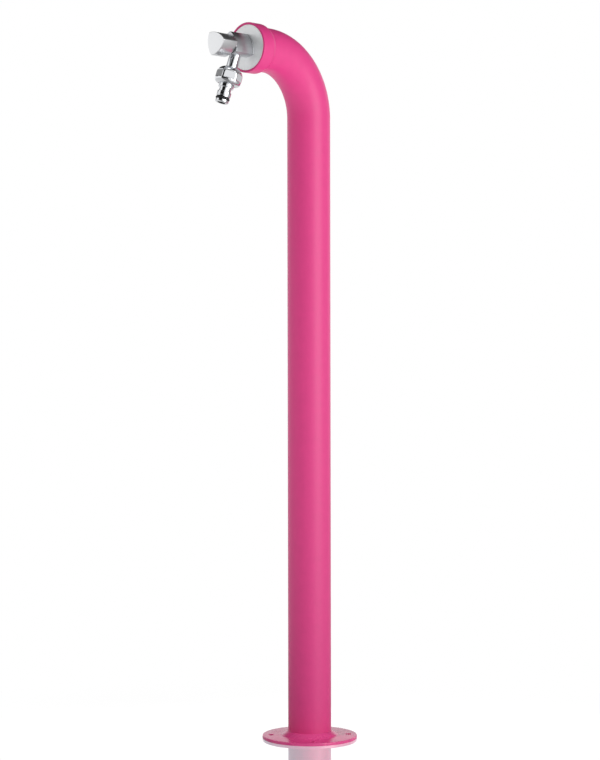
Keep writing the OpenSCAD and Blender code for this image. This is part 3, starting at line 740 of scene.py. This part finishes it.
def glowing(n, colour=(1, 1, 1)):
    """An even glow of one colour."""
    glow = n.new("ShaderNodeEmission")
    glow.inputs["Color"].default_value = (*colour, 1)
    return glow.outputs["Emission"]


def faded(n, link, value, start, end):
    """Rises smoothly from 0 to 1 between two values."""
    fade = n.new("ShaderNodeMapRange")
    fade.interpolation_type = "SMOOTHSTEP"
    fade.inputs["From Min"].default_value = start
    fade.inputs["From Max"].default_value = end
    link.new(value, fade.inputs["Value"])
    return fade.outputs["Result"]


def calc(n, link, operation, *values):
    """A math node; its inputs are numbers or outputs."""
    node = n.new("ShaderNodeMath")
    node.operation = operation
    for socket, value in zip(node.inputs, values):
        if isinstance(value, (int, float)):
            socket.default_value = value
        else:
            link.new(value, socket)
    return node.outputs["Value"]


def along(n, link, where, direction):
    """How far a node's vector runs along a direction."""
    dot = n.new("ShaderNodeVectorMath")
    dot.operation = "DOT_PRODUCT"
    link.new(where, dot.inputs[0])
    dot.inputs[1].default_value = direction
    return dot.outputs["Value"]


def levels(n, link, value, stops):
    """A smooth grey scale over a value in degrees from -180 to 180."""
    ramp = n.new("ShaderNodeValToRGB")
    ramp.color_ramp.interpolation = "EASE"
    for i, (degrees, level) in enumerate(stops):
        at = degrees / 360 + 0.5
        stop = ramp.color_ramp.elements[i] if i < 2 else ramp.color_ramp.elements.new(at)
        stop.position = at
        stop.color = (level, level, level, 1)
    link.new(calc(n, link, "ADD", calc(n, link, "DIVIDE", value, 360), 0.5), ramp.inputs["Fac"])
    return ramp.outputs["Color"]


TOWARDS_VIEW = (math.sin(VIEW_TURN), -math.cos(VIEW_TURN), 0)
RIGHT_OF_VIEW = (math.cos(VIEW_TURN), math.sin(VIEW_TURN), 0)


def bearing(n, link, where):
    """Degrees round the post from the photograph's side of it, 90 to that side's right."""
    return calc(n, link, "DEGREES", calc(n, link, "ARCTAN2", along(n, link, where, RIGHT_OF_VIEW),
                                         along(n, link, where, TOWARDS_VIEW)))


# Floor: pale near the post, with a faint mirror image of it for the camera, and white far off

def make_floor():
    """A wide disc that the post stands on."""
    mesh = bpy.data.meshes.new("floor")
    bm = bmesh.new()
    bmesh.ops.create_circle(bm, cap_ends=True, segments=FLOOR_SIDES, radius=FLOOR_REACH)
    bm.to_mesh(mesh)
    bm.free()
    floor = bpy.data.objects.new("floor", mesh)
    scene.collection.objects.link(floor)
    mesh.materials.append(floor_material())


def floor_material():
    """One floor for each kind of ray: what the camera sees, what metal mirrors and what
    lights the post."""
    ground = bpy.data.materials.new("floor")
    ground.use_nodes = True
    n, link = ground.node_tree.nodes, ground.node_tree.links
    where, rays = n.new("ShaderNodeTexCoord"), n.new("ShaderNodeLightPath")
    reach = n.new("ShaderNodeVectorMath")
    reach.operation = "LENGTH"
    link.new(where.outputs["Object"], reach.inputs[0])
    surface = n["Principled BSDF"]
    surface.inputs["Base Color"].default_value = (*FLOOR_COLOUR, 1)
    surface.inputs["Roughness"].default_value = FLOOR_ROUGH

    matt = n.new("ShaderNodeBsdfDiffuse")
    matt.inputs["Color"].default_value = (FLOOR_MATT, FLOOR_MATT, FLOOR_MATT, 1)
    gloss = n.new("ShaderNodeBsdfGlossy")
    gloss.inputs["Color"].default_value = (*FLOOR_MIRROR, 1)
    gloss.inputs["Roughness"].default_value = MIRROR_ROUGH
    mirror = added(n, link, gloss.outputs["BSDF"], glowing(n, FLOOR_GLOW))
    slant = n.new("ShaderNodeLayerWeight")
    flat_view = faded(n, link, slant.outputs["Facing"], *FLAT_VIEW)
    nearer = along(n, link, where.outputs["Object"], TOWARDS_VIEW)
    mirrors = calc(n, link, "MULTIPLY", flat_view, faded(n, link, nearer, *IN_FRONT))
    near = mixed(n, link, mirrors, glowing(n, FLOOR_PLAIN), mirror)
    near = added(n, link, matt.outputs["BSDF"], near)

    def outwards(fade, close, far):
        """One floor near the post that fades into another."""
        return mixed(n, link, faded(n, link, reach.outputs["Value"], *fade), close, far)

    grey = n.new("ShaderNodeEmission")
    link.new(levels(n, link, bearing(n, link, where.outputs["Object"]), FLOOR_ROUND),
             grey.inputs["Color"])
    seen = outwards(SEEN_FADE, near, glowing(n))
    mirrored = outwards(MIRRORED_FADE, surface.outputs["BSDF"], grey.outputs["Emission"])
    lit = outwards(LIT_FADE, surface.outputs["BSDF"], glowing(n))
    other = mixed(n, link, rays.outputs["Is Glossy Ray"], lit, mirrored)
    link.new(mixed(n, link, rays.outputs["Is Camera Ray"], other, seen),
             n["Material Output"].inputs["Surface"])
    return ground


make_floor()


# Light: a pale room. Metal mirrors its white backdrop, a white wall on the left and a broad soft
# light on the right, with a dark ceiling and a dark side towards the camera.

def background(n, link, colour):
    """A background whose level is a node's output."""
    out = n.new("ShaderNodeBackground")
    link.new(colour, out.inputs["Color"])
    return out.outputs["Background"]


def make_room():
    """World: white to the camera, a pattern to what mirrors and plain light to the rest."""
    world = bpy.data.worlds.new("studio")
    scene.world = world
    world.use_nodes = True
    n, link = world.node_tree.nodes, world.node_tree.links
    n.clear()
    out, rays = n.new("ShaderNodeOutputWorld"), n.new("ShaderNodeLightPath")
    where, split = n.new("ShaderNodeTexCoord"), n.new("ShaderNodeSeparateXYZ")
    link.new(where.outputs["Generated"], split.inputs["Vector"])
    towards = bearing(n, link, where.outputs["Generated"])
    height = calc(n, link, "DEGREES", calc(n, link, "ARCSINE", split.outputs["Z"]))
    brightest = 0
    for round_stops, up_stops in ((BACKDROP_ROUND, BACKDROP_UP), (WALL_ROUND, WALL_UP),
                                  (LIGHT_ROUND, LIGHT_UP)):
        patch = calc(n, link, "MULTIPLY", levels(n, link, towards, round_stops),
                     levels(n, link, height, up_stops))
        brightest = calc(n, link, "MAXIMUM", patch, brightest)
    mirrored = calc(n, link, "ADD", brightest, levels(n, link, height, ROOM_UP))
    ambient = calc(n, link, "MULTIPLY", levels(n, link, height, AMBIENT_UP),
                   levels(n, link, towards, AMBIENT_ROUND))
    sky = n.new("ShaderNodeBackground")
    sky.inputs["Color"].default_value = (1, 1, 1, 1)
    other = mixed(n, link, rays.outputs["Is Glossy Ray"], background(n, link, ambient),
                  background(n, link, mirrored))
    link.new(mixed(n, link, rays.outputs["Is Camera Ray"], other, sky.outputs["Background"]),
             out.inputs["Surface"])


make_room()


# Lamps

def make_key_light():
    """A broad soft lamp on the photograph's right."""
    lamp = bpy.data.lights.new("key", "AREA")
    lamp.shape, lamp.energy = "RECTANGLE", KEY_WATTS
    lamp.size, lamp.size_y = KEY_SIZE
    key = bpy.data.objects.new("key", lamp)
    turn, rise = math.radians(KEY_TURN), math.radians(KEY_UP)
    away = Vector((math.sin(turn) * math.cos(rise), -math.cos(turn) * math.cos(rise),
                   math.sin(rise)))
    key.location = Vector((0, 0, KEY_AIM)) + away * KEY_REACH
    key.rotation_mode = "QUATERNION"
    key.rotation_quaternion = away.to_track_quat("Z", "Y")
    key.visible_camera = False
    scene.collection.objects.link(key)


def make_foot_light():
    """A soft spot that lights the flange's top and nothing that mirrors."""
    lamp = bpy.data.lights.new("foot", "SPOT")
    lamp.energy, lamp.spot_size, lamp.spot_blend = FOOT_WATTS, math.radians(FOOT_SPREAD), 1
    lamp.shadow_soft_size = FOOT_SOFTNESS
    foot = bpy.data.objects.new("foot", lamp)
    foot.matrix_world = (round_post.to_4x4() @ Matrix.Rotation(math.radians(FOOT_TURN), 4, "Z")
                         @ Matrix.Rotation(math.radians(FOOT_TILT), 4, "X")
                         @ Matrix.Translation((0, 0, FOOT_REACH)))
    foot.visible_camera = foot.visible_glossy = False
    scene.collection.objects.link(foot)


make_key_light()
make_foot_light()

scene.view_settings.view_transform = "Standard"
